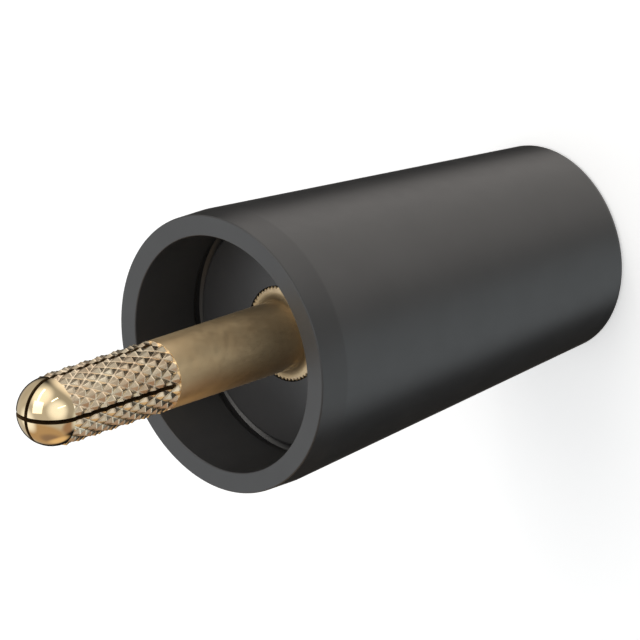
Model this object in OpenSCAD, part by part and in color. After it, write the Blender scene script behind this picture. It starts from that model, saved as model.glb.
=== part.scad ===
// Plug adapter: a knurled, cross-slotted spring pin stands in a protective cup,
// and a shrouded socket for a test lead opens at the other end.
// Three pieces: a moulded housing, an insulating insert and one turned contact.
// The adapter stands on its socket end, with its axis on Z.

/* [Housing] */
// Length of the housing, from the socket end to the rim of the cup
housing_len = 26.7; // [20:0.1:40]
// Diameter over the rim of the cup
rim_d = 16; // [14.4:0.1:24]
// Height of the straight band behind the rim, before the taper starts
rim_band = 2; // [0.6:0.1:6]
// Wall of the cup, kept along the whole housing
wall = 1.2; // [0.9:0.05:1.6]
// Depth of the cup, from the rim to the floor that the insert makes
cup_depth = 5; // [3:0.1:7]
// Rounding of the outer edge at the socket end
end_edge_r = 0.4; // [0.1:0.05:0.7]
// Rounding of the rim's two edges
rim_edge_r = 0.08; // [0.02:0.01:0.3]

/* [Insert] */
// Thickness of the plate that closes the cup
plate_t = 2.5; // [1.8:0.1:3.5]
// Least width of the shoulder that the plate rests on
seat_step = 0.25; // [0.15:0.05:0.7]
// Gap that shows between the edge of the floor and the wall of the cup
joint_gap = 0.2; // [0.1:0.05:0.35]
// Rounding of the edges on both sides of that gap
joint_edge_r = 0.2; // [0.05:0.05:0.3]
// Wall of the shroud round the socket
shroud_wall = 0.73; // [0.6:0.01:1.4]
// Height of the snap bead that keeps the insert in the housing
bead_rise = 0.15; // [0.05:0.01:0.25]

/* [Pin] */
// Diameter of the plug pin
pin_d = 4; // [3:0.1:5]
// Smooth length of the pin, from the floor of the cup to the knurl
shaft_len = 10; // [6:0.1:16]
// Length of the knurl
knurl_len = 8; // [4:0.1:12]
// Height of the knurl's crests over the pin
knurl_rise = 0.09; // [0.03:0.01:0.15]
// Depth of the knurl's grooves under the pin
knurl_sink = 0.11; // [0.05:0.01:0.15]
// Number of grooves that run round the pin in each direction
knurl_starts = 18; // [12:1:24]
// Angle between the knurl's grooves and the axis
knurl_helix = 30.3; // [25:0.1:45]
// How much thinner than the pin the rounded nose is, on the radius
nose_relief = 0.06; // [0:0.01:0.08]
// Width of the two crossed saw cuts
slot_w = 0.25; // [0.15:0.01:0.5]
// How far past the start of the knurl the saw cuts end
slot_lead = 0.35; // [-1:0.05:3]

/* [Flange] */
// Height of the flange over the pin or the socket's bore, at the tips of its teeth
flange_step = 0.76; // [0.66:0.02:1.1]
// Depth of the flange's straight knurl
tooth_depth = 0.14; // [0.05:0.01:0.15]
// Number of teeth of the straight knurl
teeth = 60; // [40:2:72]
// Fillet where the pin meets the flange
root_fillet = 0.5; // [0.2:0.05:0.5]

/* [Socket] */
// Bore of the socket
socket_d = 4; // [3:0.1:5]
// How far the socket's mouth lies inside the housing
socket_recess = 2; // [1:0.1:4]
// Wall of the socket's tube
tube_wall = 0.95; // [0.7:0.05:1.2]
// Width of the ring-shaped gap that takes the sleeve of the lead's plug
sleeve_gap = 1.15; // [1:0.05:1.5]
// Chamfer of the mouths of the socket and of the shroud
mouth_chamfer = 0.25; // [0.1:0.05:0.35]
// Thickness of the collar that stops the contact behind the plate
collar_t = 1.2; // [0.6:0.1:2]
// Height of that collar over the tips of the flange's teeth
collar_step = 0.44; // [0.3:0.02:0.6]

/* [Fits] */
// Gap left round pieces that are pressed into each other
press_gap = 0.02; // [0.01:0.005:0.05]

/* [Hidden] */
$fn = 96;

housing_color = [0.17, 0.17, 0.18];
insert_color = [0.15, 0.15, 0.16];
contact_color = [0.78, 0.68, 0.48];

// Heights of the cup's floor and of the seat under the plate
floor_z = housing_len - cup_depth;
seat_z = floor_z - plate_t;

// Radii of the socket end, from the contact's tube outwards
tube_r = socket_d / 2 + tube_wall;
shroud_r = tube_r + sleeve_gap;
insert_r = shroud_r + shroud_wall;
end_bore_r = insert_r + press_gap;
end_r = end_bore_r + wall;

// Radii of the cup, from the rim inwards
rim_r = rim_d / 2;
cup_r = rim_r - wall;
plate_r = cup_r - press_gap;
floor_r = cup_r - joint_gap;

// The groove in the cup's wall, from under the floor to over it, and how far it
// reaches past the rounded edges below, above and outwards
groove_below = 0.1;
groove_above = 0.2;
groove_beyond = 0.05;
groove_under = joint_gap + joint_edge_r + groove_below;
groove_over = joint_edge_r + groove_above;
groove_r = cup_r + joint_edge_r + groove_beyond;

// Radius of the housing's taper at height z
function taper_r(z) =
    end_r + (rim_r - end_r) * (z - end_edge_r) / (housing_len - rim_band - end_edge_r);

// The bore behind the plate follows the taper, one wall inside it, down to a straight
// land at the socket end, which holds the snap bead
seat_bore_r = min(taper_r(seat_z) - wall, cup_r - seat_step);
land_h = 3;
land_bore_r = taper_r(land_h) - wall;
bead_z = 1.5;
bead_half = 0.4;

// Radii and heights of the contact
pin_r = pin_d / 2;
flange_r = max(pin_r, socket_d / 2) + flange_step;
flange_root_r = flange_r - tooth_depth;
flange_core_r = flange_root_r - tooth_depth;
collar_r = flange_r + collar_step;
nose_r = pin_r - nose_relief;
knurl_z = floor_z + shaft_len;
nose_z = knurl_z + knurl_len;
tip_z = nose_z + nose_r;
slot_z = knurl_z + slot_lead;
drill_point_angle = 118;
drill_flat_r = 0.2;
drill_point_h = (socket_d / 2 - drill_flat_r) / tan(drill_point_angle / 2);

// The knurl is a lattice of four-sided points: crests and crossings of the grooves
// take turns round each row, and change places from one row to the next
crest_r = pin_r + knurl_rise;
crossing_r = pin_r - knurl_sink;
core_sink = 0.3;
core_r = crossing_r - core_sink;
blank_rise = 0.01;
blank_r = crest_r + blank_rise;
columns = 2 * knurl_starts;
column_turn = 360 / columns;
row_h = PI * crest_r / knurl_starts / tan(knurl_helix);
rows_below = 2;
rows = ceil(knurl_len / row_h) + 2 * rows_below;
// Turn of the lattice against the saw cuts, and height of its first full row
lattice_turn = 2.9;
lattice_lead = 0.11;
knurl_chamfer = 0.15;

// How far a cutting body reaches past what it cuts
past = 1;

arc_steps = 6;

// Points of an arc round a centre, from one angle to another
function arc(centre, r, from, to) =
    [for (i = [0:arc_steps]) let (a = from + (to - from) * i / arc_steps)
        centre + r * [cos(a), sin(a)]];

// Points of the snap bead's outline on a wall of radius r, from top to bottom
function bead(r, half) =
    [[r, bead_z + half], [r + bead_rise, bead_z + half - bead_rise],
     [r + bead_rise, bead_z - half + bead_rise], [r, bead_z - half]];

function backwards(points) = [for (i = [len(points) - 1:-1:0]) points[i]];

// Half section of the housing, from the socket end round the outside to the rim,
// then down the cup, the groove, the seat of the plate and the bore
module housing_section() {
    polygon(concat(
        [[end_bore_r, 0]],
        arc([end_r - end_edge_r, end_edge_r], end_edge_r, -90, 0),
        [[rim_r, housing_len - rim_band]],
        arc([rim_r - rim_edge_r, housing_len - rim_edge_r], rim_edge_r, 0, 90),
        arc([cup_r + rim_edge_r, housing_len - rim_edge_r], rim_edge_r, 90, 180),
        arc([cup_r + joint_edge_r, floor_z + groove_over], joint_edge_r, 180, 270),
        [[groove_r, floor_z + groove_over - joint_edge_r]],
        [[groove_r, floor_z - groove_under + joint_gap]],
        [[cup_r, floor_z - groove_under]],
        [[cup_r, seat_z], [seat_bore_r, seat_z]],
        [[land_bore_r, land_h], [end_bore_r, land_h]],
        bead(end_bore_r, bead_half + press_gap)
    ));
}

// Half section of the insert: a shroud tube with a plate at its top,
// and the hole that the contact's flange is pressed into
module insert_section() {
    polygon(concat(
        [[shroud_r, mouth_chamfer], [shroud_r + mouth_chamfer, 0], [insert_r, 0]],
        backwards(bead(insert_r, bead_half)),
        [[insert_r, seat_z], [plate_r, seat_z]],
        [[plate_r, floor_z - groove_under], [floor_r, floor_z - groove_under + joint_gap]],
        arc([floor_r - joint_edge_r, floor_z - joint_edge_r], joint_edge_r, 0, 90),
        [[flange_r + press_gap, floor_z], [flange_r + press_gap, seat_z], [shroud_r, seat_z]]
    ));
}

// Half section of what the lathe makes of the contact, without its knurls
module contact_section() {
    translate([0, socket_recess]) square([tube_r, seat_z - socket_recess]);
    translate([0, seat_z - collar_t]) square([collar_r, collar_t]);
    translate([0, seat_z]) square([flange_core_r, plate_t]);
    translate([0, seat_z]) square([pin_r, knurl_z - seat_z]);
    translate([0, knurl_z]) square([core_r, knurl_len]);
    translate([0, nose_z]) intersection() {
        circle(nose_r);
        square(nose_r);
    }
    translate([pin_r, floor_z]) difference() {
        square(root_fillet);
        translate([root_fillet, root_fillet]) circle(root_fillet);
    }
}

// Half section of the socket's bore, which ends level with the plate's underside,
// with its chamfered mouth and drill point
module socket_section() {
    polygon([
        [0, socket_recess - past], [socket_d / 2 + mouth_chamfer, socket_recess - past],
        [socket_d / 2 + mouth_chamfer, socket_recess],
        [socket_d / 2, socket_recess + mouth_chamfer],
        [socket_d / 2, seat_z], [drill_flat_r, seat_z + drill_point_h],
        [0, seat_z + drill_point_h]
    ]);
}

// Straight knurl of the flange, as a ring of pointed teeth
module flange_teeth() {
    linear_extrude(plate_t) polygon([for (i = [0:2 * teeth - 1])
        let (a = 180 * i / teeth, r = i % 2 == 0 ? flange_r : flange_root_r)
            [r * cos(a), r * sin(a)]]);
}

function lattice_point(column, row) =
    let (a = lattice_turn + column * column_turn,
         r = (column + row) % 2 == 0 ? crossing_r : crest_r)
        [r * cos(a), r * sin(a), (row - rows_below) * row_h];

// The two triangles between neighbouring columns and rows, split along the groove
function lattice_faces(column, row) =
    let (next = (column + 1) % columns,
         a = row * columns + column, b = row * columns + next,
         c = (row + 1) * columns + next, d = (row + 1) * columns + column)
        (column + row) % 2 == 0 ? [[a, d, c], [a, c, b]] : [[a, d, b], [d, c, b]];

// Diamond knurl, longer than it is needed, with its first full row at height 0
module knurl_lattice() {
    polyhedron(
        points = [for (row = [0:rows], column = [0:columns - 1]) lattice_point(column, row)],
        faces = concat(
            [[for (i = [0:columns - 1]) i]],
            [for (row = [0:rows - 1], column = [0:columns - 1])
                each lattice_faces(column, row)],
            [[for (i = [columns - 1:-1:0]) rows * columns + i]]
        )
    );
}

// The blank that the knurl is rolled on, with chamfered ends
module knurl_blank() {
    neck_r = blank_r - 2 * knurl_chamfer;
    rotate_extrude() polygon([
        [0, -knurl_chamfer], [neck_r, -knurl_chamfer], [blank_r, knurl_chamfer],
        [blank_r, knurl_len - knurl_chamfer], [neck_r, knurl_len + knurl_chamfer],
        [0, knurl_len + knurl_chamfer]
    ]);
}

module diamond_knurl() {
    intersection() {
        translate([0, 0, lattice_lead]) knurl_lattice();
        knurl_blank();
    }
}

// Two saw cuts through the axis, which leave four spring legs
module saw_cuts() {
    for (turn = [0, 90])
        rotate([0, 0, turn])
            translate([-crest_r - past, -slot_w / 2, slot_z])
                cube([2 * (crest_r + past), slot_w, tip_z - slot_z + past]);
}

module housing() {
    color(housing_color) rotate_extrude() housing_section();
}

module insert() {
    color(insert_color) rotate_extrude() insert_section();
}

module contact() {
    color(contact_color) difference() {
        union() {
            rotate_extrude() contact_section();
            translate([0, 0, seat_z]) flange_teeth();
            translate([0, 0, knurl_z]) diamond_knurl();
        }
        rotate_extrude() socket_section();
        saw_cuts();
    }
}

housing();
insert();
contact();
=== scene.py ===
"""Looks of the plug adapter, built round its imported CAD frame.

Three pieces stand for the three CAD nodes: the moulded housing, the insulating insert
and the turned contact. Each one is a surface of revolution, worked out with numpy as a
grid of points over a turn and a profile. The contact's radius also changes with the
turn, at the teeth of its flange and at its diamond knurl, and its pin is split by two
crossed saw cuts.

Sizes are in millimetres and angles in degrees. A mesh is in metres, in the frame's own
axes: the adapter stands on its socket end with its axis on Z, and X and Y lie in the
planes of the saw cuts.
"""

import logging
from dataclasses import dataclass, field
from enum import IntEnum

import bpy
import numpy as np
from mathutils import Matrix, Vector


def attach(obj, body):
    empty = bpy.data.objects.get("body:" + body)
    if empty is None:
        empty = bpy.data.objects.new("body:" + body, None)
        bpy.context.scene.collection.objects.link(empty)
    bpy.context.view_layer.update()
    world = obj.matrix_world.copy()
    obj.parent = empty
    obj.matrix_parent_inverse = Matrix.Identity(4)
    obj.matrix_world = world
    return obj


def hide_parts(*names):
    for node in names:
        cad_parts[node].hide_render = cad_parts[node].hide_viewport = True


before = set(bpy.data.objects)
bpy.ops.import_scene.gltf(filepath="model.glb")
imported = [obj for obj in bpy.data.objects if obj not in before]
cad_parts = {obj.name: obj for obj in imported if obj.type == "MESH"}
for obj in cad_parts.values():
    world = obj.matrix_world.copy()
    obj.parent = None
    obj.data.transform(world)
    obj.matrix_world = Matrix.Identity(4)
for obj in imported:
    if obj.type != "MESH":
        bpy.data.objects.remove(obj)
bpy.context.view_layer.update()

MM = 0.001
BODY = "root"

log = logging.getLogger("plug_adapter")

Array = np.ndarray
Socket = bpy.types.NodeSocket
Colour = tuple[float, float, float]
Place = tuple[float, float, float]

# Distance, in millimetres, of an added point from the end of a straight part
SUPPORT = 0.03
# Largest bend between two faces of a moulded piece that is still shaded smoothly
MOULDED_BEND = 20.0
WHITE = (1.0, 1.0, 1.0, 1.0)
EVEN = (1.0, 1.0, 1.0)
# Nearly all values of a noise texture lie between these two
NOISE_RANGE = (0.3, 0.7)
# Finer layers of a noise texture: a few for clouds, more for patches and grain
SOFT_DETAIL = 2.0
FINE_DETAIL = 3.0
PLASTIC_IOR = 1.5
# A ring hardly changes round the axis, so its noise is stretched along X and Y
RING_STRETCH = (0.02, 0.02, 1.0)
# Part of a full turn from the tangent round the axis to the way of the drawn-out gloss
GLOSS_TURN = 0.25


# Profiles and grids


def arc(centre: tuple[float, float], radius: float, start: float, stop: float,
        steps: int = 10) -> Array:
    """Work out an arc of a profile.

    Formula: the centre plus the radius times (cos a, sin a), with a running evenly
    from start to stop.

    Args:
        centre: Radius and height of the arc's centre.
        radius: Radius of the arc itself.
        start: First angle, from the outward direction towards the top.
        stop: Last angle.
        steps: Number of equal parts.

    Returns:
        One row of radius and height for each point.
    """
    a = np.radians(np.linspace(start, stop, steps + 1))
    return np.column_stack([centre[0] + radius * np.cos(a), centre[1] + radius * np.sin(a)])


def line(*points: tuple[float, float]) -> Array:
    """Return corners of a profile as an array, one row of radius and height each."""
    return np.array(points, float)


def supported(profile: Array, closed: bool, margin: float = SUPPORT) -> Array:
    """Add a point near both ends of each long straight part of a profile.

    Formula: a part from p to q that is longer than four margins gets the points that
    lie one margin after p and one margin before q. The faces between them are then
    flat, so that smooth shading stays inside the short faces at a bend.

    Args:
        profile: Points of the profile, in order.
        closed: True if the last point joins the first.
        margin: Distance of an added point from the end.

    Returns:
        The profile with the added points, in order.
    """
    ends = np.roll(profile, -1, axis=0) if closed else np.vstack([profile[1:], profile[-1:]])
    way = ends - profile
    length = np.hypot(way[:, 0], way[:, 1])
    long = length > 4 * margin
    step = np.divide(margin, length, out=np.zeros_like(length), where=long)[:, None] * way
    trio = np.stack([profile, profile + step, ends - step], axis=1)
    keep = np.column_stack([np.ones_like(long), long, long])
    return trio[keep]


def turned(radii: Array, heights: Array, angles: Array) -> Array:
    """Turn radii and heights round the axis.

    Formula: the point of a row and a column is (r cos a, r sin a, z), where r is the
    radius there, z the row's height and a the column's angle.

    Args:
        radii: One radius for each row, or for each row and column.
        heights: One height for each row.
        angles: One angle for each column, in degrees.

    Returns:
        Points as rows by columns by three.
    """
    a = np.radians(angles)[None, :]
    r = radii if radii.ndim == 2 else radii[:, None]
    r = np.broadcast_to(r, (len(heights), a.shape[1]))
    z = np.broadcast_to(heights[:, None], r.shape)
    return np.stack([r * np.cos(a), r * np.sin(a), z], axis=-1)


def grid_quads(rows: int, columns: int, closed: bool) -> Array:
    """Number the four corners of each cell of a grid that is closed round the axis.

    Formula: the cell of row i and column j has the corners (i, j), (i, j + 1),
    (i + 1, j + 1) and (i + 1, j), with columns, and rows if closed, wrapping to 0. A
    profile that runs up on the outside then gives faces that point outwards.

    Args:
        rows: Number of rows of points.
        columns: Number of columns of points.
        closed: True if the last row joins the first.

    Returns:
        Corner numbers as cell rows by columns by four.
    """
    i = np.arange(rows if closed else rows - 1)[:, None]
    j = np.arange(columns)[None, :]
    over, beside = (i + 1) % rows, (j + 1) % columns
    corners = (i * columns + j, i * columns + beside, over * columns + beside,
               over * columns + j)
    return np.stack(np.broadcast_arrays(*corners), axis=-1)


@dataclass
class Surface:
    """Points and faces of a mesh, gathered before Blender gets them.

    Attributes:
        points: One row of x, y and z for each point, in millimetres.
        faces: Arrays of faces, each with three or four corners a row.
        finishes: For each array of faces, the number of each face's finish.
    """

    points: Array
    faces: list[Array] = field(default_factory=list)
    finishes: list[Array] = field(default_factory=list)

    def add(self, faces: Array, finish: Array | int) -> None:
        """Add faces.

        Args:
            faces: Corner numbers, with three or four in the last axis.
            finish: One finish for all of them, or one for each.
        """
        flat = faces.reshape(-1, faces.shape[-1])
        self.faces.append(flat)
        self.finishes.append(np.broadcast_to(finish, faces.shape[:-1]).ravel())

    def mesh(self, name: str) -> bpy.types.Mesh:
        """Make the Blender mesh, with its points in metres.

        Args:
            name: Name of the mesh.

        Returns:
            The new mesh.
        """
        mesh = bpy.data.meshes.new(name)
        corners = np.concatenate([f.ravel() for f in self.faces])
        counts = np.concatenate([np.full(len(f), f.shape[1]) for f in self.faces])
        mesh.vertices.add(len(self.points))
        mesh.vertices.foreach_set("co", (self.points * MM).astype(np.float32).ravel())
        mesh.loops.add(len(corners))
        mesh.loops.foreach_set("vertex_index", corners.astype(np.int32))
        mesh.polygons.add(len(counts))
        starts = np.concatenate([[0], np.cumsum(counts)[:-1]])
        mesh.polygons.foreach_set("loop_start", starts.astype(np.int32))
        mesh.polygons.foreach_set("material_index",
                                  np.concatenate(self.finishes).astype(np.int32))
        mesh.update(calc_edges=True)
        mesh.validate()
        return mesh


def shade(mesh: bpy.types.Mesh, sharpest: float) -> None:
    """Shade a mesh smoothly, apart from the edges that bend more than an angle.

    Args:
        mesh: The mesh.
        sharpest: Largest bend that is still shaded smoothly.
    """
    mesh.shade_smooth()
    mesh.set_sharp_from_angle(angle=np.radians(sharpest))


def shown(name: str, mesh: bpy.types.Mesh, materials: list[bpy.types.Material]
          ) -> bpy.types.Object:
    """Put a mesh in the scene as an object at the origin, with its materials.

    Args:
        name: Name of the object.
        mesh: Its mesh.
        materials: Materials, in the order of the finishes' numbers.

    Returns:
        The new object.
    """
    for material in materials:
        mesh.materials.append(material)
    piece = bpy.data.objects.new(name, mesh)
    bpy.context.scene.collection.objects.link(piece)
    return piece


# Finishes


@dataclass
class NodeSheet:
    """A node tree that is being filled.

    Attributes:
        tree: The node tree of a material or of the world.
    """

    tree: bpy.types.NodeTree

    def add(self, kind: str, inputs: dict[str | int, object] | None = None,
            **settings: object) -> bpy.types.Node:
        """Add a node.

        Args:
            kind: Type of the node, without the leading ShaderNode.
            inputs: Value, or output socket to link, for each input by name or number.
            **settings: Properties of the node.

        Returns:
            The new node.
        """
        node = self.tree.nodes.new("ShaderNode" + kind)
        for key, value in settings.items():
            setattr(node, key, value)
        for key, value in (inputs or {}).items():
            if isinstance(value, Socket):
                self.tree.links.new(value, node.inputs[key])
            else:
                node.inputs[key].default_value = value
        return node

    def math(self, operation: str, *values: float | Socket) -> Socket:
        """Add a Math node.

        Args:
            operation: Blender's name of the operation.
            *values: Numbers or output sockets, in the order of the inputs.

        Returns:
            The node's output.
        """
        return self.add("Math", dict(enumerate(values)), operation=operation).outputs[0]

    def noise(self, where: Socket, scale: float, detail: float = SOFT_DETAIL) -> Socket:
        """Add a noise texture.

        Args:
            where: Coordinates that it reads.
            scale: Number of its cells in one unit of those coordinates.
            detail: Number of finer layers.

        Returns:
            Its value, about 0.5 on average.
        """
        node = self.add("TexNoise", {"Vector": where, "Scale": scale, "Detail": detail})
        return node.outputs["Fac"]

    def spread(self, value: Socket, low: float, high: float) -> Socket:
        """Map the value of a noise texture to a range.

        Args:
            value: Output socket that is mapped.
            low: Result at the noise's lower end.
            high: Result at the noise's upper end.

        Returns:
            The mapped value, kept inside the range.
        """
        node = self.add("MapRange", {"Value": value, "From Min": NOISE_RANGE[0],
                                     "From Max": NOISE_RANGE[1], "To Min": low,
                                     "To Max": high})
        return node.outputs["Result"]

    def blend(self, share: Socket, one: Colour | Socket, other: Colour | Socket) -> Socket:
        """Mix two colours.

        Args:
            share: How much of the second colour shows, from 0 to 1.
            one: First colour, or an output socket with it.
            other: Second colour, or an output socket with it.

        Returns:
            The mixed colour.
        """
        one, other = (c if isinstance(c, Socket) else (*c, 1) for c in (one, other))
        # The colour sockets of a Mix node come after those for numbers and vectors
        return self.add("Mix", {0: share, 6: one, 7: other}, data_type="RGBA").outputs[2]


def fresh_sheet(owner: bpy.types.Material | bpy.types.World) -> NodeSheet:
    """Give a material or a world an empty node tree.

    Args:
        owner: The material or world.

    Returns:
        Its node tree, ready to be filled.
    """
    owner.use_nodes = True
    owner.node_tree.nodes.clear()
    return NodeSheet(owner.node_tree)


def millimetres(sheet: NodeSheet, stretch: Place = EVEN) -> Socket:
    """Add the piece's own coordinates, in millimetres.

    Args:
        sheet: Node tree of the material.
        stretch: Factor for each axis.

    Returns:
        The coordinates.
    """
    where = sheet.add("TexCoord").outputs["Object"]
    scale = tuple(s / MM for s in stretch)
    return sheet.add("Mapping", {"Vector": where, "Scale": scale}).outputs["Vector"]


@dataclass(frozen=True, kw_only=True)
class CloudedFinish:
    """A finish whose colour and gloss change in soft clouds, over a fine relief.

    Attributes:
        name: Name of the material.
        colour: Main colour.
        clouded: Colour of its soft clouds.
        clouds: Number of clouds in a millimetre.
        roughness: Average roughness.
        unevenness: How far the roughness goes up and down.
        patches: Number of patches of other roughness in a millimetre.
        relief: Size of one grain, or distance between two rings, of the relief.
        relief_height: Height of the relief.
    """

    name: str
    colour: Colour
    clouded: Colour
    clouds: float
    roughness: float
    unevenness: float
    patches: float
    relief: float
    relief_height: float

    def shader(self, sheet: NodeSheet, stretch: Place, detail: float) -> bpy.types.Node:
        """Add the shader with its colour, roughness and relief, and the material's output.

        Args:
            sheet: Node tree of the material.
            stretch: Factor of the relief's coordinates for each axis.
            detail: Number of finer layers of the relief.

        Returns:
            The shader, whose other sockets are still to be set.
        """
        where = millimetres(sheet)
        clouds = sheet.spread(sheet.noise(where, self.clouds), 0.0, 1.0)
        rough = sheet.spread(sheet.noise(where, self.patches, FINE_DETAIL),
                             self.roughness - self.unevenness,
                             self.roughness + self.unevenness)
        height = sheet.noise(millimetres(sheet, stretch), 1 / self.relief, detail)
        bump = sheet.add("Bump", {"Height": height, "Strength": 1.0,
                                  "Distance": self.relief_height * MM})
        shader = sheet.add("BsdfPrincipled", {
            "Base Color": sheet.blend(clouds, self.colour, self.clouded),
            "Roughness": rough, "Normal": bump.outputs["Normal"]})
        sheet.add("OutputMaterial", {"Surface": shader.outputs["BSDF"]})
        return shader


@dataclass(frozen=True, kw_only=True)
class MouldedPlastic(CloudedFinish):
    """Black moulded plastic with a fine satin grain."""

    clouds: float = 0.35
    patches: float = 1.1

    def material(self) -> bpy.types.Material:
        """Make the material.

        Returns:
            The new material.
        """
        made = bpy.data.materials.new(self.name)
        shader = self.shader(fresh_sheet(made), EVEN, FINE_DETAIL)
        shader.inputs["IOR"].default_value = PLASTIC_IOR
        return made


@dataclass(frozen=True, kw_only=True)
class PlatedMetal(CloudedFinish):
    """Turned metal under a pale gold plating, with the fine rings of the turning tool.

    Attributes:
        ringed: How far the rings draw out its gloss along the axis.
        coat: Weight of the clear passivating film.
        coat_roughness: Roughness of that film.
    """

    clouds: float = 0.9
    unevenness: float = 0.03
    patches: float = 2.5
    relief: float = 0.16
    ringed: float = 0.0
    coat: float = 0.0
    coat_roughness: float = 0.1

    def material(self) -> bpy.types.Material:
        """Make the material.

        Returns:
            The new material.
        """
        made = bpy.data.materials.new(self.name)
        sheet = fresh_sheet(made)
        shader = self.shader(sheet, RING_STRETCH, SOFT_DETAIL)
        shader.inputs["Metallic"].default_value = 1.0
        if self.ringed:
            around = sheet.add("Tangent", direction_type="RADIAL", axis="Z")
            sheet.tree.links.new(around.outputs["Tangent"], shader.inputs["Tangent"])
            shader.inputs["Anisotropic"].default_value = self.ringed
            shader.inputs["Anisotropic Rotation"].default_value = GLOSS_TURN
        shader.inputs["Coat Weight"].default_value = self.coat
        shader.inputs["Coat Roughness"].default_value = self.coat_roughness
        return made


HOUSING_FINISH = MouldedPlastic(
    name="housing_black_plastic", colour=(0.037, 0.037, 0.038),
    clouded=(0.042, 0.042, 0.043), roughness=0.31, unevenness=0.025,
    relief=0.09, relief_height=0.0012)
INSERT_FINISH = MouldedPlastic(
    name="insert_black_plastic", colour=(0.052, 0.052, 0.054),
    clouded=(0.058, 0.058, 0.060), roughness=0.38, unevenness=0.03,
    relief=0.12, relief_height=0.0015)


class ContactFinish(IntEnum):
    """Finishes of the contact, numbered as its mesh uses them."""

    SATIN = 0
    KNURL = 1
    BRIGHT = 2
    # Bare sawn brass, darkened to dark brown as painted shade inside the narrow saw cuts
    SAWN = 3


CONTACT_FINISHES = {
    ContactFinish.SATIN: PlatedMetal(
        name="satin_turned_plating", colour=(0.78, 0.60, 0.36), clouded=(0.74, 0.55, 0.32),
        roughness=0.44, relief_height=0.0003, ringed=0.75, coat=0.5, coat_roughness=0.07),
    ContactFinish.KNURL: PlatedMetal(
        name="knurled_plating", colour=(0.93, 0.82, 0.62), clouded=(0.76, 0.59, 0.41),
        roughness=0.27, relief_height=0.0002),
    ContactFinish.BRIGHT: PlatedMetal(
        name="bright_nose_plating", colour=(0.87, 0.71, 0.46), clouded=(0.84, 0.67, 0.42),
        roughness=0.06, unevenness=0.015, relief=0.2, relief_height=0.0001),
    # Sawn faces: rough bare brass, coloured dark brown as painted shade of the narrow slots
    ContactFinish.SAWN: PlatedMetal(
        name="sawn_brass_painted_shade", colour=(0.42, 0.29, 0.15), clouded=(0.30, 0.20, 0.09),
        roughness=0.45, unevenness=0.08, relief_height=0.0008),
}


# Pieces


@dataclass
class MouldedRing:
    """A moulded piece that is turned from one closed half section.

    Attributes:
        seat_z: Height of the seat, where the insert's plate rests on the housing.
        floor_z: Height of the cup's floor.
        bead_z: Height of the snap bead and of its groove.
        bead_rise: How far the bead stands out.
        columns: Number of columns round the axis.
    """

    seat_z: float = 19.2
    floor_z: float = 21.7
    bead_z: float = 1.5
    bead_rise: float = 0.15
    columns: int = 256

    def mesh(self, name: str, profile: Array) -> bpy.types.Mesh:
        """Turn a half section round the axis.

        Formula: the columns stand at equal turns, and each one has the radii and
        heights of the half section.

        Args:
            name: Name of the mesh.
            profile: One row of radius and height for each point of the half section.

        Returns:
            The mesh, shaded, with one finish.
        """
        angles = np.arange(self.columns) * 360 / self.columns
        grid = turned(profile[:, 0], profile[:, 1], angles)
        surface = Surface(grid.reshape(-1, 3))
        surface.add(grid_quads(len(profile), self.columns, closed=True), 0)
        mesh = surface.mesh(name)
        shade(mesh, MOULDED_BEND)
        return mesh


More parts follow.
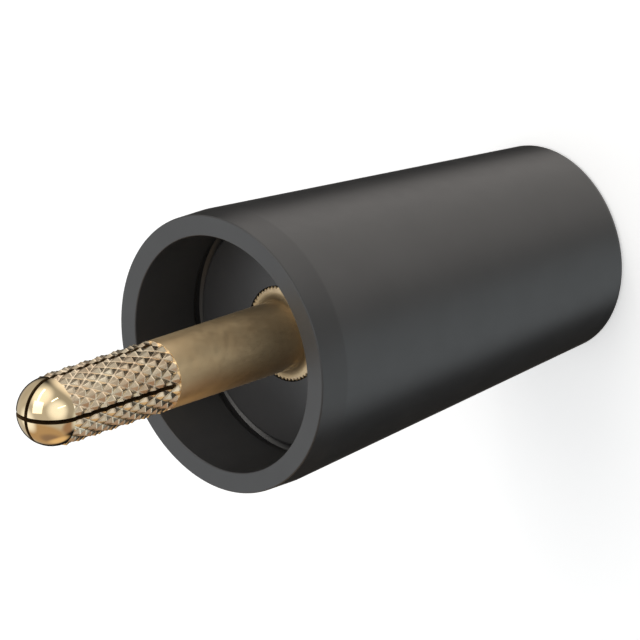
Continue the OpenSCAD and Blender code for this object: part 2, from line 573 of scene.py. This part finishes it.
@dataclass
class HousingShell(MouldedRing):
    """The moulded housing: a tapered sleeve with a straight rim band and a deep cup.

    Attributes:
        length: Height from the socket end to the rim.
        rim_r: Radius over the rim.
        rim_band: Height of the straight band.
        crease_r: Rounding where the taper meets the band.
        wall: Wall of the cup.
        end_r: Radius at the socket end.
        end_bore_r: Radius of the bore at the socket end.
        end_edge_r: Rounding of the outer edge at the socket end.
        rim_edge_r: Rounding of the rim's edges.
        seat_bore_r: Radius of the bore under the seat.
        land_z: Height where the straight bore of the socket end stops.
        land_bore_r: Radius of the bore over it.
        joint_edge_r: Rounding of the wall's foot.
        groove_r: Radius of the groove round the floor.
        groove_low_z: Lower end of the groove's outer wall.
        groove_over: Height over the floor at which the wall is straight again.
        bead_half: Half the height of the groove for the snap bead.
    """

    length: float = 26.7
    rim_r: float = 8.0
    rim_band: float = 2.0
    crease_r: float = 2.0
    wall: float = 1.2
    end_r: float = 6.05
    end_bore_r: float = 4.85
    end_edge_r: float = 0.4
    rim_edge_r: float = 0.08
    seat_bore_r: float = 6.3586
    land_z: float = 3.0
    land_bore_r: float = 5.0586
    joint_edge_r: float = 0.2
    groove_r: float = 7.05
    groove_low_z: float = 21.4
    groove_over: float = 0.4
    bead_half: float = 0.42

    def profile(self) -> Array:
        """Work out the half section.

        Formula: straight parts and arcs, one after the other, from the socket end up
        the outside, over the rim and down the cup, the seat and the bore.

        Returns:
            One row of radius and height for each point.
        """
        cup_r = self.rim_r - self.wall
        edge, top, foot = self.rim_edge_r, self.length, self.joint_edge_r
        band_z = top - self.rim_band
        lean = float(np.arctan2(self.rim_r - self.end_r, band_z - self.end_edge_r))
        crease_z = band_z + self.crease_r * float(np.tan(lean / 2))
        foot_z = self.floor_z + self.groove_over
        bore, rise, half = self.end_bore_r, self.bead_rise, self.bead_half
        parts = [
            line((bore, 0.0)),
            arc((self.end_r - self.end_edge_r, self.end_edge_r), self.end_edge_r, -90, 0),
            arc((self.rim_r - self.crease_r, crease_z), self.crease_r, -np.degrees(lean), 0, 4),
            arc((self.rim_r - edge, top - edge), edge, 0, 90),
            arc((cup_r + edge, top - edge), edge, 90, 180),
            arc((cup_r + foot, foot_z), foot, 180, 270),
            line((self.groove_r, foot_z - foot), (self.groove_r, self.groove_low_z),
                 (cup_r, self.groove_low_z - foot), (cup_r, self.seat_z),
                 (self.seat_bore_r, self.seat_z), (self.land_bore_r, self.land_z),
                 (bore, self.land_z), (bore, self.bead_z + half),
                 (bore + rise, self.bead_z + half - rise),
                 (bore + rise, self.bead_z - half + rise), (bore, self.bead_z - half)),
        ]
        return supported(np.vstack(parts), closed=True)

    def build(self) -> bpy.types.Object:
        """Build the piece and dress it.

        Returns:
            The housing's object.
        """
        mesh = self.mesh("housing_shell", self.profile())
        piece = shown("housing_shell", mesh, [HOUSING_FINISH.material()])
        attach(piece, BODY)
        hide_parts("housing")
        return piece


@dataclass
class InsertBody(MouldedRing):
    """The insulating insert: a plate that is the cup's floor, and a shroud tube.

    Attributes:
        shroud_r: Inner radius of the shroud.
        outer_r: Outer radius of the shroud.
        plate_r: Radius of the plate.
        floor_r: Radius of the plate's top, inside the joint line.
        hole_r: Radius of the hole for the contact's flange.
        step_z: Height where the plate gets narrower, under the joint line.
        joint_gap: Width of the joint line.
        edge_r: Rounding of the plate's upper edge.
        mouth_chamfer: Chamfer of the shroud's mouth.
        bead_half: Half the height of the snap bead.
    """

    shroud_r: float = 4.1
    outer_r: float = 4.83
    plate_r: float = 6.78
    floor_r: float = 6.6
    hole_r: float = 2.78
    step_z: float = 21.2
    joint_gap: float = 0.2
    edge_r: float = 0.2
    mouth_chamfer: float = 0.25
    bead_half: float = 0.4

    def profile(self) -> Array:
        """Work out the half section.

        Formula: straight parts and arcs, one after the other, from the shroud's mouth
        up the outside of the tube, round the plate, and down the hole and the shroud.

        Returns:
            One row of radius and height for each point.
        """
        out, rise, half, low = self.outer_r, self.bead_rise, self.bead_half, self.bead_z
        parts = [
            line((self.shroud_r, self.mouth_chamfer), (self.shroud_r + self.mouth_chamfer, 0),
                 (out, 0), (out, low - half), (out + rise, low - half + rise),
                 (out + rise, low + half - rise), (out, low + half), (out, self.seat_z),
                 (self.plate_r, self.seat_z), (self.plate_r, self.step_z),
                 (self.floor_r, self.step_z + self.joint_gap)),
            arc((self.floor_r - self.edge_r, self.floor_z - self.edge_r), self.edge_r, 0, 90),
            line((self.hole_r, self.floor_z), (self.hole_r, self.seat_z),
                 (self.shroud_r, self.seat_z)),
        ]
        return supported(np.vstack(parts), closed=True)

    def build(self) -> bpy.types.Object:
        """Build the piece and dress it.

        Returns:
            The insert's object.
        """
        mesh = self.mesh("insert_body", self.profile())
        piece = shown("insert_body", mesh, [INSERT_FINISH.material()])
        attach(piece, BODY)
        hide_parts("insert")
        return piece


@dataclass
class DiamondKnurl:
    """The knurl, as a radius that depends on the turn and the height.

    Attributes:
        start_z: Height where the knurl starts.
        stop_z: Height where it stops.
        first_row_z: Height of a row of crossings.
        row: Height from one row to the next.
        column: Turn from one column to the next.
        turn: Turn of the first column.
        crest_r: Radius at the crests.
        groove_r: Radius along the grooves.
        blank_r: Radius of the blank.
        chamfer: Half the height of the blank's end cones, which rise one to one.
        soft: Rounding of the ridges, as a share of the height.
        root: Rounding of the bottoms of the grooves, as a share of the width.
    """

    start_z: float = 31.7
    stop_z: float = 39.7
    first_row_z: float = 31.77
    row: float = 0.62415
    column: float = 10.0
    turn: float = -0.4
    crest_r: float = 2.09
    groove_r: float = 1.89
    blank_r: float = 2.1
    chamfer: float = 0.15
    soft: float = 0.035
    root: float = 0.1

    def radius(self, heights: Array, angles: Array) -> Array:
        """Work out the knurled surface.

        Formula: with u the turn in columns and w the height in rows, the grooves are
        the lines where u - w or u + w is an even number. The distance to the nearest
        groove of either family runs from 0 to 1, and a hyperbola rounds its foot. The
        lower of the two, rounded where they meet and never under 0, is the height of
        the facet. The end cones of the blank cut what stands over them.

        Args:
            heights: One height for each row of points.
            angles: One angle for each column of points.

        Returns:
            Radius for each row and column.
        """
        u = ((angles - self.turn) / self.column)[None, :]
        w = ((heights - self.first_row_z) / self.row)[:, None]
        down, up = (u - w) / 2, (u + w) / 2
        one, two = (np.hypot(2 * (side - np.round(side)), self.root) - self.root
                    for side in (down, up))
        facet = -self.soft * np.log(np.exp(-one / self.soft) + np.exp(-two / self.soft))
        facet = np.maximum(facet, 0)
        lattice = self.groove_r + (self.crest_r - self.groove_r) * facet
        middle = self.blank_r - self.chamfer
        lower = middle + (heights - self.start_z)
        upper = middle - (heights - self.stop_z)
        return np.minimum(lattice, np.minimum(lower, upper)[:, None])

    def heights(self, parts: int) -> Array:
        """Work out the heights of the rows of points.

        Formula: each row of the lattice in equal parts, and the ends of the cones. A
        height that is less than a third of a part from an end is left out.

        Args:
            parts: Number of parts of each row of the lattice.

        Returns:
            Heights from the start to the stop of the knurl.
        """
        low = np.floor((self.start_z - self.first_row_z) / self.row * parts)
        high = np.ceil((self.stop_z - self.first_row_z) / self.row * parts)
        z = self.first_row_z + np.arange(low, high + 1) * self.row / parts
        clear = self.row / parts / 3
        z = z[(z > self.start_z + clear) & (z < self.stop_z - clear)]
        return np.concatenate([[self.start_z], z, [self.stop_z]])


@dataclass
class TurnedContact:
    """The contact: socket tube, collar, toothed flange, shaft, knurl and split nose.

    Attributes:
        socket_r: Radius of the socket's bore.
        socket_z: Height of the socket's mouth.
        mouth_chamfer: Chamfer of the mouth.
        tube_r: Radius of the socket's tube.
        tube_edge: Chamfer of the tube's outer edge.
        collar_r: Radius of the stop collar.
        collar_z: Height of the collar's underside.
        seat_z: Height of the collar's top, under the flange.
        drill_tip_z: Height of the blunt end of the drilled bore.
        drill_tip_r: Radius of that end.
        flange_r: Radius over the tips of the flange's teeth.
        tooth_depth: Depth of the teeth.
        tooth_turn: Turn from one tooth to the next.
        tooth_edge: Chamfer of the teeth's upper ends.
        floor_z: Height of the flange's top, level with the cup's floor.
        fillet_r: Fillet at the foot of the shaft.
        pin_r: Radius of the shaft.
        nose_r: Radius of the rounded nose.
        nose_start: Angle over the knurl's end at which the rows of the nose start.
        slot_w: Width of the saw cuts.
        slot_z: Height where the saw cuts end.
        saw_over: How far the saw reaches past the pin.
        sawn_within: Distance from the saw's planes within which a face is a sawn one.
        sawn_square: Cosine of the largest angle between a sawn face and those planes.
        support: Distance of an added row from the flange's chamfer and the shaft's ends.
        smooth_bend: Largest bend between two faces that is still shaded smoothly.
        parts: Number of parts of each row and column of the knurl.
        knurl: The knurl.
    """

    socket_r: float = 2.0
    socket_z: float = 2.0
    mouth_chamfer: float = 0.25
    tube_r: float = 2.95
    tube_edge: float = 0.08
    collar_r: float = 3.2
    collar_z: float = 18.0
    seat_z: float = 19.2
    drill_tip_z: float = 20.2815
    drill_tip_r: float = 0.2
    flange_r: float = 2.76
    tooth_depth: float = 0.14
    tooth_turn: float = 6.0
    tooth_edge: float = 0.05
    floor_z: float = 21.7
    fillet_r: float = 0.5
    pin_r: float = 2.0
    nose_r: float = 1.94
    nose_start: float = 0.3
    slot_w: float = 0.25
    slot_z: float = 32.05
    saw_over: float = 1.0
    sawn_within: float = 0.002
    sawn_square: float = 0.999
    support: float = 0.05
    smooth_bend: float = 30.0
    parts: int = 10
    knurl: DiamondKnurl = field(default_factory=DiamondKnurl)

    def angles(self) -> Array:
        """Return the turn of each column, on the knurl's own columns and their parts."""
        step = self.knurl.column / self.parts
        return self.knurl.turn + np.arange(round(360 / step)) * step

    def tooth_share(self) -> Array:
        """Work out where the teeth stand.

        Formula: a triangle wave round the axis, from 1 at a tip to 0 at a root.

        Returns:
            Share of the teeth's depth for each column.
        """
        tip = self.knurl.turn - self.tooth_turn / 2
        place = (self.angles() - tip) / self.tooth_turn
        return 1 - 2 * np.abs(place - np.round(place))

    def lower_rows(self) -> tuple[Array, Array]:
        """Work out the rows from the drilled end of the socket to the collar's top.

        Formula: straight parts down the bore, round its mouth, and up the tube and
        the collar.

        Returns:
            Radii, with one column, and heights.
        """
        chamfer, edge = self.mouth_chamfer, self.tube_edge
        profile = supported(line(
            (self.drill_tip_r, self.drill_tip_z), (self.socket_r, self.seat_z),
            (self.socket_r, self.socket_z + chamfer), (self.socket_r + chamfer, self.socket_z),
            (self.tube_r - edge, self.socket_z), (self.tube_r, self.socket_z + edge),
            (self.tube_r, self.collar_z), (self.collar_r, self.collar_z),
            (self.collar_r, self.seat_z)), closed=False)
        return profile[:, :1], profile[:, 1]

    def flange_rows(self) -> tuple[Array, Array]:
        """Work out the toothed rows of the flange.

        Formula: the radius at the roots plus the depth of the teeth times their share,
        less a small chamfer at the top.

        Returns:
            Radii for each row and column, and heights.
        """
        side = self.flange_r - self.tooth_depth * (1 - self.tooth_share())
        edge = self.tooth_edge
        radii = np.stack([side, side, side, side - edge])
        top = self.floor_z
        return radii, np.array([self.seat_z, top - edge - self.support, top - edge, top])

    def shaft_rows(self) -> tuple[Array, Array]:
        """Work out the rows of the fillet and the shaft.

        Formula: a quarter circle from the flange's top to the shaft, then the shaft.

        Returns:
            Radii, with one column, and heights.
        """
        centre = (self.pin_r + self.fillet_r, self.floor_z + self.fillet_r)
        profile = supported(np.vstack([arc(centre, self.fillet_r, 270, 180, 12),
                                       line((self.pin_r, self.knurl.start_z))]),
                            closed=False, margin=self.support)
        return profile[:, :1], profile[:, 1]

    def nose_rows(self, steps: int = 56) -> tuple[Array, Array]:
        """Work out the rows of the nose, a half ball on the knurl's end.

        Formula: a quarter circle about the centre of the knurl's end. The knurl's end
        cone stands over its first row by less than a hundredth of a millimetre.

        Args:
            steps: Number of rows.

        Returns:
            Radii, with one column, and heights.
        """
        profile = arc((0.0, self.knurl.stop_z), self.nose_r, self.nose_start, 90, steps)[:-1]
        return profile[:, :1], profile[:, 1]

    def whole(self) -> Surface:
        """Work out the contact before it is sawn.

        Formula: the rows of all its parts on one grid, closed by a fan at each pole.
        Each cell of the knurl is split along its groove.

        Returns:
            The closed surface.
        """
        angles = self.angles()
        columns = len(angles)
        knurl_z = self.knurl.heights(self.parts)
        strips = [
            (self.lower_rows(), ContactFinish.SATIN),
            (self.flange_rows(), ContactFinish.SATIN),
            (self.shaft_rows(), ContactFinish.SATIN),
            ((self.knurl.radius(knurl_z, angles), knurl_z), ContactFinish.KNURL),
            (self.nose_rows(), ContactFinish.BRIGHT),
        ]
        grids = [turned(radii, z, angles) for (radii, z), _ in strips]
        grid = np.concatenate(grids)
        finish = np.concatenate([np.full(len(g), int(f)) for g, (_, f) in zip(grids, strips)])
        first, last = np.flatnonzero(finish == ContactFinish.KNURL)[[0, -1]]
        poles = np.array([[0, 0, self.drill_tip_z],
                          [0, 0, self.knurl.stop_z + self.nose_r]])
        surface = Surface(np.vstack([grid.reshape(-1, 3), poles]))
        quads = grid_quads(len(grid), columns, closed=False)
        row_finish = np.broadcast_to(finish[1:, None], quads.shape[:2])
        plain = np.r_[0:first, last:len(quads)]
        surface.add(quads[plain], row_finish[plain])
        self.add_knurl_faces(surface, quads[first:last], knurl_z)
        self.add_fans(surface, len(grid), columns)
        return surface

    def add_knurl_faces(self, surface: Surface, quads: Array, heights: Array) -> None:
        """Add the knurl's cells as pairs of triangles, split along the grooves.

        Args:
            surface: Surface that gets them.
            quads: Corner numbers of the cells, by rows and columns.
            heights: Heights of the rows of points.
        """
        row = np.floor(((heights[:-1] + heights[1:]) / 2 - self.knurl.first_row_z)
                       / self.knurl.row).astype(int)
        column = np.arange(quads.shape[1]) // self.parts
        even = (row[:, None] + column[None, :]) % 2 == 0
        a, b, c, d = (quads[..., k] for k in range(4))
        one = np.where(even[..., None], np.stack([a, b, c], -1), np.stack([a, b, d], -1))
        two = np.where(even[..., None], np.stack([a, c, d], -1), np.stack([b, c, d], -1))
        for triangles in (one, two):
            surface.add(triangles, int(ContactFinish.KNURL))

    def add_fans(self, surface: Surface, rows: int, columns: int) -> None:
        """Close both poles of the grid with triangles.

        Args:
            surface: Surface that gets them; its last two points are the poles.
            rows: Number of rows of points.
            columns: Number of columns of points.
        """
        j = np.arange(columns)
        beside = (j + 1) % columns
        start, stop = rows * columns, rows * columns + 1
        last = (rows - 1) * columns
        surface.add(np.column_stack([np.full(columns, start), beside, j]),
                    int(ContactFinish.SATIN))
        surface.add(np.column_stack([last + j, last + beside, np.full(columns, stop)]),
                    int(ContactFinish.BRIGHT))

    def saw(self) -> bpy.types.Object:
        """Make the body that the two saw cuts take away.

        Formula: the outline of a cross, with arms as wide as a cut, carried straight up
        from the end of the cuts to over the nose.

        Returns:
            The cutting body's object.
        """
        half, reach = self.slot_w / 2, self.pin_r + self.saw_over
        xy = np.array([(reach, -half), (reach, half), (half, half), (half, reach),
                       (-half, reach), (-half, half), (-reach, half), (-reach, -half),
                       (-half, -half), (-half, -reach), (half, -reach), (half, -half)])
        low = np.column_stack([xy, np.full(len(xy), self.slot_z)])
        tip_z = self.knurl.stop_z + self.nose_r
        high = low + [0, 0, tip_z + self.saw_over - self.slot_z]
        count = len(xy)
        j = np.arange(count)
        beside = (j + 1) % count
        surface = Surface(np.vstack([low, high]))
        surface.add(np.column_stack([j, beside, beside + count, j + count]), 0)
        surface.add(j[::-1][None, :], 0)
        surface.add((j + count)[None, :], 0)
        return shown("saw", surface.mesh("saw"), [])

    def sawn(self, whole: bpy.types.Object) -> bpy.types.Mesh:
        """Cut the two slots into the contact.

        Args:
            whole: The contact before it is sawn.

        Returns:
            The cut mesh, with the sawn faces in their own finish, whose dark brown colour is
            painted shade inside the slots.
        """
        saw = self.saw()
        cut = whole.modifiers.new("saw_cuts", "BOOLEAN")
        cut.operation, cut.solver, cut.object = "DIFFERENCE", "EXACT", saw
        graph = bpy.context.evaluated_depsgraph_get()
        mesh = bpy.data.meshes.new_from_object(whole.evaluated_get(graph))
        bpy.data.objects.remove(saw)
        bpy.data.objects.remove(whole)
        count = len(mesh.polygons)
        centres, normals = np.empty(count * 3), np.empty(count * 3)
        finish = np.empty(count, np.int32)
        mesh.polygons.foreach_get("center", centres)
        mesh.polygons.foreach_get("normal", normals)
        mesh.polygons.foreach_get("material_index", finish)
        centres, normals = centres.reshape(-1, 3) / MM, normals.reshape(-1, 3)
        near = np.abs(np.abs(centres[:, :2]) - self.slot_w / 2) < self.sawn_within
        square = np.abs(normals) > self.sawn_square
        walls = (near & square[:, :2]).any(axis=1) & (centres[:, 2] > self.slot_z)
        bottom = (np.abs(centres[:, 2] - self.slot_z) < self.sawn_within) & square[:, 2]
        # The sawn faces get the dark brown finish, which is painted shade inside the slots
        finish[walls | bottom] = int(ContactFinish.SAWN)
        # Emptying the list of materials also sets every face's number back to 0
        mesh.materials.clear()
        mesh.polygons.foreach_set("material_index", finish)
        mesh.name = "turned_contact"
        return mesh

    def build(self) -> bpy.types.Object:
        """Build the piece and dress it.

        Returns:
            The contact's object.
        """
        whole = shown("contact_blank", self.whole().mesh("contact_blank"), [])
        mesh = self.sawn(whole)
        shade(mesh, self.smooth_bend)
        piece = shown("turned_contact", mesh,
                      [CONTACT_FINISHES[finish].material() for finish in ContactFinish])
        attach(piece, BODY)
        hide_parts("contact")
        return piece


# Studio


def direction(azimuth: float, elevation: float) -> Vector:
    """Return the unit vector of an azimuth, from +X towards +Y, and an elevation."""
    a, e = np.radians(azimuth), np.radians(elevation)
    return Vector((np.cos(a) * np.cos(e), np.sin(a) * np.cos(e), np.sin(e)))


@dataclass(frozen=True)
class Patch:
    """A soft round patch of the surroundings.

    Attributes:
        azimuth: Azimuth of its middle, from +X towards +Y.
        elevation: Elevation of its middle.
        inner: Angle from the middle up to which it has its full colour.
        outer: Angle from the middle where it ends.
        colour: Colour of its light.
        strength: Radiance of its middle; 1 is white.
        for_gloss: Whether only rays that a surface mirrors or lets through see it.
    """

    azimuth: float
    elevation: float
    inner: float
    outer: float
    colour: Colour
    strength: float
    for_gloss: bool = False


@dataclass(frozen=True)
class SoftBox:
    """A flat lamp with a diffuser.

    Attributes:
        name: Name of the lamp.
        azimuth: Azimuth of the lamp, seen from the target.
        elevation: Elevation of the lamp, seen from the target.
        target_z: Height on the axis that it points to.
        width: Width of the diffuser.
        height: Height of the diffuser.
        radiance: Brightness of the diffuser; 1 is white.
        distance: Distance from the target.
        colour: Colour of the light.
    """

    name: str
    azimuth: float
    elevation: float
    target_z: float
    width: float
    height: float
    radiance: float
    distance: float = 400.0
    colour: Colour = (1.0, 0.98, 0.95)

    def build(self) -> None:
        """Put the lamp in the scene."""
        lamp = bpy.data.lights.new(self.name, "AREA")
        lamp.shape = "RECTANGLE"
        lamp.size, lamp.size_y = self.width * MM, self.height * MM
        lamp.color = self.colour
        # An even diffuser of radiance L sends out L times pi times its area
        lamp.energy = self.radiance * np.pi * lamp.size * lamp.size_y
        away = direction(self.azimuth, self.elevation)
        held = bpy.data.objects.new(self.name, lamp)
        held.location = Vector((0, 0, self.target_z * MM)) + away * self.distance * MM
        held.rotation_euler = away.to_track_quat("Z", "Y").to_euler()
        held.visible_camera = False
        bpy.context.scene.collection.objects.link(held)


@dataclass
class Studio:
    """Pale table, surroundings, lamps and camera.

    Attributes:
        floor_side: Side of the square table top.
        floor_glow: Light that the table top sends to the camera by itself.
        floor_colour: Brightness of the colour that the lamps and the shadow show on.
        below: Radiance of the surroundings under all patches.
        patches: Patches of the surroundings, each painted over those before it.
        lamps: Lamps.
        camera_place: Place of the camera.
        camera_right: Direction of the picture's right side.
        camera_up: Direction of the picture's top.
        camera_lens: Focal length.
        camera_sensor: Width of the sensor.
        camera_clip: Nearest and farthest distance that the camera sees.
    """

    floor_side: float = 4000.0
    floor_glow: float = 0.45
    floor_colour: float = 0.8
    below: float = 0.01
    patches: tuple[Patch, ...] = (
        # Azimuth, elevation, inner angle, outer angle, colour, strength
        Patch(0, 90, 10, 72, (0.98, 0.99, 1.0), 0.7),
        Patch(0, 90, 94, 114, (1.0, 0.98, 0.94), 0.58, for_gloss=True),
        Patch(42, -40, 38, 70, (1.0, 0.97, 0.92), 0.42, for_gloss=True),
        Patch(160, -8, 6, 30, (1.0, 0.95, 0.88), 0.5, for_gloss=True),
        Patch(-154, -42, 4, 14, (1.0, 0.95, 0.88), 0.2, for_gloss=True),
        Patch(-40, -19, 10, 28, (1.0, 0.66, 0.46), 0.36, for_gloss=True),
        Patch(-92, 20, 36, 54, (1.0, 0.71, 0.43), 0.5, for_gloss=True),
        Patch(-88, 8, 4, 26, (1.0, 0.72, 0.55), 0.3, for_gloss=True),
        Patch(-90, -16, 2, 22, (1.0, 0.73, 0.42), 0.85, for_gloss=True),
        Patch(-150, 46, 8, 36, (0.95, 0.98, 1.0), 1.22),
        Patch(20, 20, 4, 42, (0.98, 1.0, 1.0), 1.3),
        Patch(100, 30, 8, 42, (1.0, 0.97, 0.92), 1.35),
        Patch(92, -56, 14, 45, (1.0, 0.95, 0.90), 1.2),
        Patch(-29, -52, 7, 32, (0.90, 0.97, 1.0), 0.94),
    )
    lamps: tuple[SoftBox, ...] = (
        # Name, azimuth, elevation, height of the target, width, height, radiance
        SoftBox("key_box", 98, 66, 30, 240, 260, 1.3),
        SoftBox("strip_box", 57, 13, 40, 20, 170, 3.5),
        SoftBox("front_strip_box", 27, 4, 40, 14, 200, 2.5),
        SoftBox("side_strip_box", 105, 28, 40, 44, 330, 2.2),
    )
    camera_place: Place = (307.9, 146.8, 328.2)
    camera_right: Place = (0.7112, -0.0102, -0.7029)
    camera_up: Place = (-0.2171, 0.9479, -0.2334)
    camera_lens: float = 459.2
    camera_sensor: float = 36.0
    camera_clip: tuple[float, float] = (10.0, 10000.0)

    def build_table(self) -> None:
        """Build the pale table top that the adapter stands on.

        Formula: a flat square at height 0.
        """
        side = self.floor_side / 2
        surface = Surface(np.array([(-side, -side, 0.0), (side, -side, 0.0),
                                    (side, side, 0.0), (-side, side, 0.0)]))
        surface.add(np.array([[0, 1, 2, 3]]), 0)
        table = shown("table_top", surface.mesh("table_top"), [self.table_material()])

    def table_material(self) -> bpy.types.Material:
        """Make the table's material: a pale top with the object's shadow.

        Only the camera sees it, and only from above. Every other ray passes through, so
        the surroundings under the table light the object too.

        Returns:
            The new material.
        """
        made = bpy.data.materials.new("pale_table")
        sheet = fresh_sheet(made)
        top = sheet.add("BsdfDiffuse", {"Color": (self.floor_colour,) * 3 + (1,)})
        glow = sheet.add("Emission", {"Color": WHITE, "Strength": self.floor_glow})
        pale = sheet.add("AddShader", {0: top.outputs[0], 1: glow.outputs[0]})
        clear = sheet.add("BsdfTransparent", {"Color": WHITE})
        seen = sheet.add("LightPath").outputs["Is Camera Ray"]
        above = sheet.math("SUBTRACT", 1.0, sheet.add("NewGeometry").outputs["Backfacing"])
        shows = sheet.math("MULTIPLY", seen, above)
        mixed = sheet.add("MixShader", {0: shows, 1: clear.outputs[0], 2: pale.outputs[0]})
        sheet.add("OutputMaterial", {"Surface": mixed.outputs[0]})
        return made

    def build_surroundings(self) -> None:
        """Paint the world with soft patches, white where the camera sees it.

        Formula: each patch mixes its colour over the ones before it, by a smooth step
        of the cosine between the ray and the middle of the patch. Some patches are the
        backdrop that metal and gloss show, so only those rays see them.
        """
        world = bpy.data.worlds.new("studio")
        bpy.context.scene.world = world
        sheet = fresh_sheet(world)
        ray = sheet.add("TexCoord").outputs["Generated"]
        rays = sheet.add("LightPath").outputs
        gloss = sheet.math("MAXIMUM", rays["Is Glossy Ray"], rays["Is Transmission Ray"])
        total = (self.below,) * 3
        for patch in self.patches:
            facing = sheet.add("VectorMath", {
                0: ray, 1: direction(patch.azimuth, patch.elevation)},
                operation="DOT_PRODUCT").outputs["Value"]
            share = sheet.add("MapRange", {
                "Value": facing, "From Min": float(np.cos(np.radians(patch.outer))),
                "From Max": float(np.cos(np.radians(patch.inner)))},
                interpolation_type="SMOOTHSTEP").outputs["Result"]
            if patch.for_gloss:
                share = sheet.math("MULTIPLY", share, gloss)
            light = tuple(c * patch.strength for c in patch.colour)
            total = sheet.blend(share, total, light)
        around = sheet.add("Background", {"Color": total, "Strength": 1.0})
        white = sheet.add("Background", {"Color": WHITE, "Strength": 1.0})
        mixed = sheet.add("MixShader", {0: rays["Is Camera Ray"], 1: around.outputs[0],
                                        2: white.outputs[0]})
        sheet.add("OutputWorld", {"Surface": mixed.outputs[0]})

    def build_camera(self) -> None:
        """Put the camera where the photograph was taken from."""
        right, up = Vector(self.camera_right), Vector(self.camera_up)
        back = right.cross(up).normalized()
        up = back.cross(right.normalized()).normalized()
        right = up.cross(back)
        turn = Matrix((right, up, back)).transposed()
        data = bpy.data.cameras.new("camera")
        data.lens, data.sensor_width = self.camera_lens, self.camera_sensor
        data.clip_start, data.clip_end = (clip * MM for clip in self.camera_clip)
        camera = bpy.data.objects.new("camera", data)
        camera.matrix_world = Matrix.Translation(Vector(self.camera_place) * MM) @ turn.to_4x4()
        bpy.context.scene.collection.objects.link(camera)
        bpy.context.scene.camera = camera

    def build(self) -> None:
        """Build the whole studio."""
        bpy.context.scene.view_settings.view_transform = "Standard"
        self.build_table()
        self.build_surroundings()
        for lamp in self.lamps:
            lamp.build()
        self.build_camera()


def corners(box: tuple[Vector, Vector]) -> list[list[float]]:
    """Return a box's lowest and highest corner as plain lists."""
    return [[float(v) for v in corner] for corner in box]


def main() -> None:
    logging.basicConfig(level=logging.INFO, format="%(name)s: %(message)s")
    Studio().build()
    for maker in (HousingShell(), InsertBody(), TurnedContact()):
        piece = maker.build()
        log.info("%s: %d points, %d faces", piece.name, len(piece.data.vertices),
                 len(piece.data.polygons))


if __name__ == "__main__":
    main()
